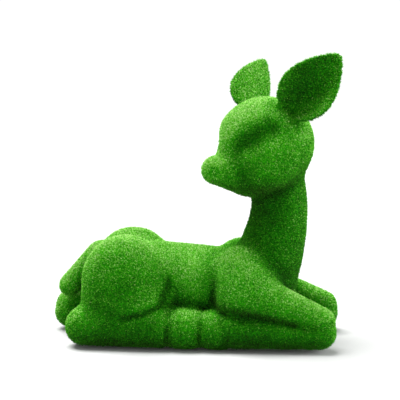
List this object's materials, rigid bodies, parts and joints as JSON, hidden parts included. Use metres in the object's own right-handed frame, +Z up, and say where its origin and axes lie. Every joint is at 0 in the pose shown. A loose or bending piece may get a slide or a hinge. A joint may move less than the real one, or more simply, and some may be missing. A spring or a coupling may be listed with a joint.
{
  "type": "figurine",
  "caption": "Reclining fawn figure with its head turned back over its shoulder, cast shells flocked in green, on a flat underside.",
  "frame": {"origin": "bottom centre of the bounding box, on the surface the figure rests on", "axes": "+Z up, +X towards the chest and the forelegs, +Y towards the fawn's left side"},
  "size_m": [0.384, 0.1956, 0.3715],
  "materials": {
    "flocked_green": "matte, cast resin under a short green flock coat",
    "base_board": "bare plywood",
    "steel": "zinc plated",
    "felt": "pressed felt",
    "bung_rubber": "moulded rubber",
    "ballast_block": "cast plaster",
    "wood": "bare hardwood"
  },
  "bodies": {
    "root": {"body_shell_right": "flocked_green", "body_shell_left": "flocked_green", "neck_shell": "flocked_green", "head_shell": "flocked_green", "ear_right": "flocked_green", "ear_left": "flocked_green", "tail": "flocked_green", "fore_leg_right": "flocked_green", "fore_leg_left": "flocked_green", "hind_leg_right": "flocked_green", "hind_leg_left": "flocked_green", "base_plate": "base_board", "base_screws": "steel", "foot_pads": "felt", "vent_plug": "bung_rubber", "ballast": "ballast_block", "neck_rod": "steel", "rod_flange": "steel", "neck_spacers": "wood", "head_socket": "wood", "ear_clips": "steel", "tail_dowel": "wood", "leg_dowels": "wood", "seam_batten": "wood"}
  },
  "joints": []
}
